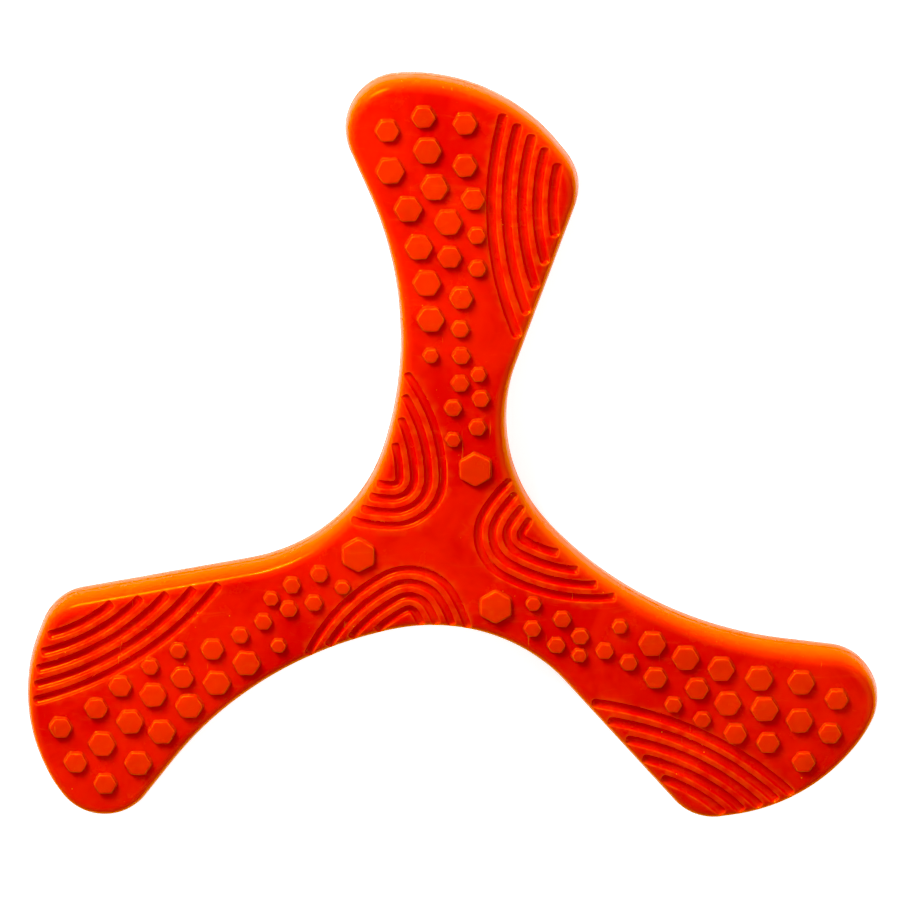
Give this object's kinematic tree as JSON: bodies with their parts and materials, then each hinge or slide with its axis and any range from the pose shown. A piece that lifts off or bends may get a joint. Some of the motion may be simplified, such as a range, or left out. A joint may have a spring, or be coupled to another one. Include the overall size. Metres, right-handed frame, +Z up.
{
  "type": "three-armed throwing boomerang",
  "caption": "Three-armed soft rubber boomerang with rounded edges, six-sided grip studs, curved tip grooves and nested hub arches.",
  "frame": {"origin": "on the axis that the three arms are turned about, in the plane of the flat underside", "axes": "+Z up through the studded face when the boomerang lies flat, +Y along arm 1"},
  "size_m": [0.2561, 0.232, 0.0173],
  "materials": {
    "red_rubber": "satin moulded soft rubber, slightly translucent",
    "stud_rubber": "satin moulded soft rubber, lightly polished by handling"
  },
  "bodies": {
    "root": {"hub": "red_rubber", "arm_1": "red_rubber", "arm_2": "red_rubber", "arm_3": "red_rubber", "hub_studs": "stud_rubber", "arm_1_studs": "stud_rubber", "arm_2_studs": "stud_rubber", "arm_3_studs": "stud_rubber"}
  },
  "joints": []
}
